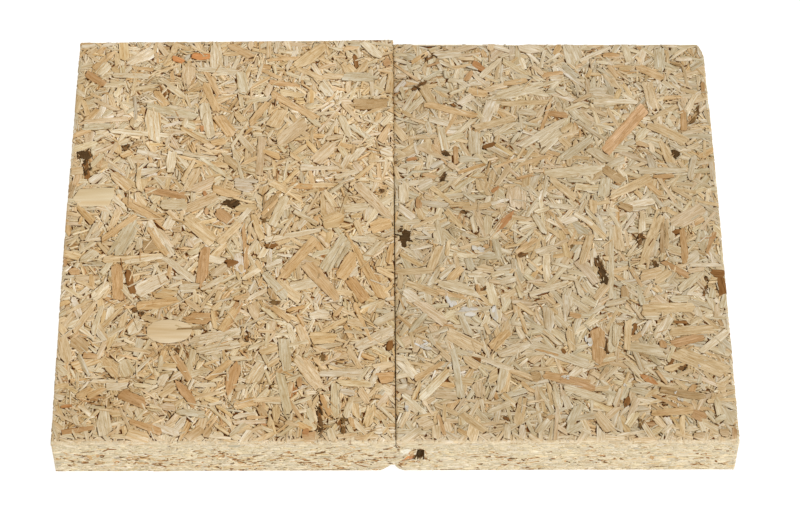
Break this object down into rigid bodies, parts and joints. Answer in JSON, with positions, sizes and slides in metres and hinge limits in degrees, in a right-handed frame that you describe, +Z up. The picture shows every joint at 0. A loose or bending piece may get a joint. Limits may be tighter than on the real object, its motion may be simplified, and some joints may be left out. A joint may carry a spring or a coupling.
{
  "type": "tongue-and-groove particleboard panels",
  "caption": "Coarse-flake particleboard floor panels lying flat, joined edge to edge by a tongue and groove, with sawn ends, worn arrises and small broken corners.",
  "frame": {"origin": "centre of the footprint of the joined pair, on the floor", "axes": "+X across the joint from the tongue panel to the groove panel, +Y along the joint away from the near sawn end, +Z up through the board thickness"},
  "size_m": [0.281, 0.2138, 0.022],
  "materials": {
    "tongue_board": "matt, sanded coarse-flake particleboard, warm straw colour",
    "groove_board": "matt, sanded coarse-flake particleboard, pale beige"
  },
  "bodies": {
    "root": {"tongue_panel": "tongue_board", "groove_panel": "groove_board"}
  },
  "joints": []
}
